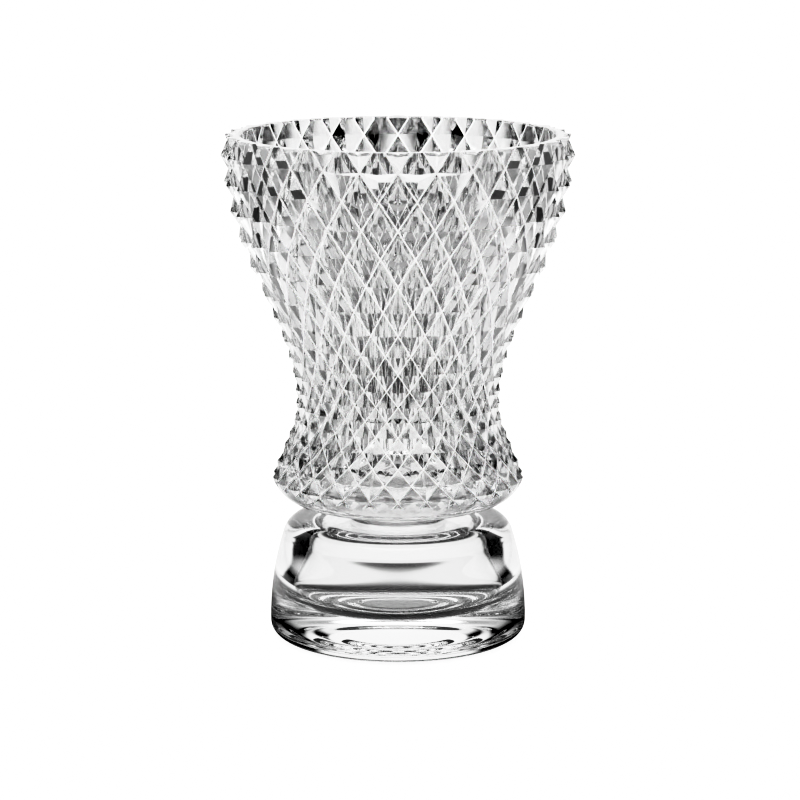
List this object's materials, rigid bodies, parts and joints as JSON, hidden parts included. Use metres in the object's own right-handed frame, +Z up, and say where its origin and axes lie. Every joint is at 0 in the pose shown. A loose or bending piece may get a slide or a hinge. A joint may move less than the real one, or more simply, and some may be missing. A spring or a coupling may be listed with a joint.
{
  "type": "cut crystal vase",
  "caption": "Clear crystal vase: a waisted bowl cut all over with diamond points, a short disc neck and a hollow domed foot.",
  "frame": {"origin": "centre of the resting face under the foot", "axes": "+Z up along the vase's axis; +X and +Y are across it, with a crossing of two cuts facing -Y"},
  "size_m": [0.173, 0.173, 0.25],
  "materials": {
    "cut_crystal": "clear crystal, cut and acid polished",
    "neck_crystal": "clear crystal, fire polished",
    "blown_crystal": "clear crystal, fire polished, ground underneath"
  },
  "bodies": {
    "root": {"bowl": "cut_crystal", "neck": "neck_crystal", "foot": "blown_crystal"}
  },
  "joints": []
}
